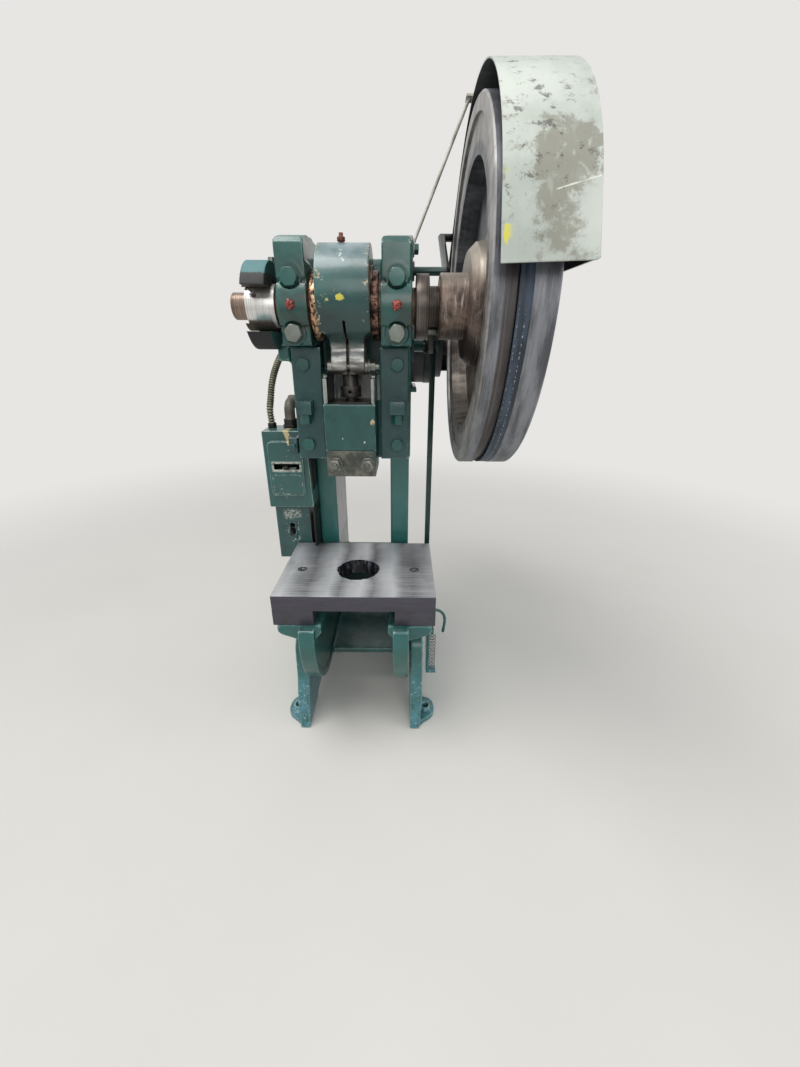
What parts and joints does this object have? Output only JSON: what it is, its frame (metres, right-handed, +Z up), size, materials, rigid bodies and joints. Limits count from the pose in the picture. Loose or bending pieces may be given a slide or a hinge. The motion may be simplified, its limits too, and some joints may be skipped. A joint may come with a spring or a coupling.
{
  "type": "mechanical stamping press",
  "caption": "Open-back inclinable bench punch press: cast frame in tilting legs, crank and pitman over a guided ram, side flywheel with belt guard, rear motor.",
  "frame": {"origin": "centre of the four foot bolt holes, on the underside of the feet", "axes": "+X to the operator's right, towards the flywheel; +Y away from the operator, towards the motor; +Z up"},
  "size_m": [0.432, 0.7155, 1.0057],
  "materials": {
    "green_enamel": "gloss enamel over cast iron, chipped",
    "ground_steel": "ground, oiled",
    "turned_steel": "turned, oily",
    "dark_steel": "oily and dark",
    "bolt_steel": "bare, worn",
    "wheel_iron": "machined grey iron",
    "guard_paint": "pale grey-green paint, scuffed",
    "bronze": "bearing bronze, greasy",
    "belt_rubber": "dark blue belt fabric",
    "black_plastic": "matt",
    "motor_paint": "dark grey paint",
    "zinc_steel": "dull zinc",
    "conduit_steel": "ribbed, grimy",
    "lining": "woven brake lining",
    "red_plug": "old red paint",
    "brown_plug": "tarnished"
  },
  "bodies": {
    "base": {"left_leg": "green_enamel", "right_leg": "green_enamel", "horn_screws": "dark_steel"},
    "frame": {"frame_casting": "green_enamel", "incline_bolts": "green_enamel", "riser_bars": "ground_steel", "bolster": "ground_steel", "hold_down_screws": "bolt_steel", "left_cap": "green_enamel", "right_cap": "green_enamel", "head_bolts": "bolt_steel", "crank_bushes": "bronze", "grease_plugs": "red_plug", "gib_plates": "green_enamel", "knockout_lugs": "green_enamel", "gib_clips": "green_enamel", "upper_shoe": "green_enamel", "lower_shoe": "green_enamel", "brake_linings": "lining", "brake_bolt": "bolt_steel", "brake_spring": "dark_steel", "guard_sheet": "guard_paint", "guard_bar": "green_enamel", "guard_stay": "zinc_steel", "motor_mount": "green_enamel", "motor_shell": "motor_paint", "motor_bells": "motor_paint", "motor_capacitor": "motor_paint", "drive_belt": "belt_rubber", "starter_box": "green_enamel", "switch_box": "green_enamel", "box_covers": "green_enamel", "box_bracket": "motor_paint", "conduit_fittings": "zinc_steel", "motor_conduit": "conduit_steel", "latch_bracket": "green_enamel", "treadle_bracket": "green_enamel", "treadle_spring": "dark_steel"},
    "crank": {"crankshaft": "turned_steel", "brake_drum": "turned_steel", "clutch_collar": "dark_steel", "wheel_retainer": "dark_steel"},
    "pin": {"clutch_pin": "turned_steel"},
    "wheel": {"flywheel": "wheel_iron", "flywheel_bush": "bronze"},
    "rotor": {"motor_pulley": "wheel_iron", "motor_shaft": "turned_steel"},
    "pitman": {"pitman": "green_enamel", "pinch_bolt": "bolt_steel", "oil_plug": "brown_plug", "adjusting_screw": "dark_steel"},
    "ram": {"ram": "green_enamel", "clamp_block": "green_enamel", "clamp_studs": "bolt_steel", "ball_retainer": "dark_steel"},
    "rocker": {"starter_rocker": "black_plastic"},
    "toggle": {"switch_toggle": "black_plastic"},
    "latch": {"trip_latch": "turned_steel"},
    "rod": {"trip_rod": "green_enamel"},
    "lever": {"treadle_lever": "green_enamel"}
  },
  "joints": [
    {"name": "frame_tilt", "type": "hinge", "parent": "base", "child": "frame", "pos_m": [0, -0.02, 0.208], "axis": [-1, 0, 0], "range_deg": [0, 40]},
    {"name": "crank_turn", "type": "hinge", "parent": "frame", "child": "crank", "pos_m": [0, -0.131, 0.758], "axis": [-1, 0, 0], "range_deg": [0, 180]},
    {"name": "ram_slide", "type": "slide", "parent": "frame", "child": "ram", "axis": [0, 0, -1], "range_m": [0, 0.0254]},
    {"name": "pitman_turn", "type": "hinge", "parent": "crank", "child": "pitman", "pos_m": [0, -0.131, 0.7707], "axis": [-1, 0, 0], "range_deg": [-180, 0]},
    {"name": "wheel_turn", "type": "hinge", "parent": "frame", "child": "wheel", "pos_m": [0, -0.131, 0.758], "axis": [-1, 0, 0], "continuous": true},
    {"name": "rotor_turn", "type": "hinge", "parent": "frame", "child": "rotor", "pos_m": [0.2, 0.247, 0.704], "axis": [-1, 0, 0], "continuous": true},
    {"name": "rod_slide", "type": "slide", "parent": "frame", "child": "rod", "axis": [0, 0, -1], "range_m": [0, 0.00456], "stiffness_N_per_m": 2000, "springref_m": -0.015},
    {"name": "pin_slide", "type": "slide", "parent": "crank", "child": "pin", "axis": [1, 0, 0], "range_m": [0, 0.008]},
    {"name": "latch_turn", "type": "hinge", "parent": "frame", "child": "latch", "pos_m": [0.125, 0.05, 0.705], "axis": [1, 0, 0], "range_deg": [0, 6.88]},
    {"name": "lever_turn", "type": "hinge", "parent": "frame", "child": "lever", "pos_m": [0.146, -0.06, 0.16], "axis": [-1, 0, 0], "range_deg": [0, 3.64], "deforming": ["treadle_spring"]},
    {"name": "rocker_turn", "type": "hinge", "parent": "frame", "child": "rocker", "pos_m": [-0.138, -0.025, 0.494], "axis": [0, 0, 1], "range_deg": [-12, 12]},
    {"name": "toggle_turn", "type": "hinge", "parent": "frame", "child": "toggle", "pos_m": [-0.148, -0.005, 0.351], "axis": [-1, 0, 0], "range_deg": [0, 40]}
  ],
  "couplings": [
    {"joint": "ram_slide", "follows": "crank_turn", "m_per_rad": 0.0080851},
    {"joint": "pitman_turn", "follows": "crank_turn", "ratio": -1},
    {"joint": "rotor_turn", "follows": "wheel_turn", "ratio": 7.446},
    {"joint": "latch_turn", "follows": "rod_slide", "rad_per_m": 26.316},
    {"joint": "lever_turn", "follows": "rod_slide", "rad_per_m": 13.889},
    {"joint": "pin_slide", "follows": "rod_slide", "ratio": 1.7544}
  ]
}
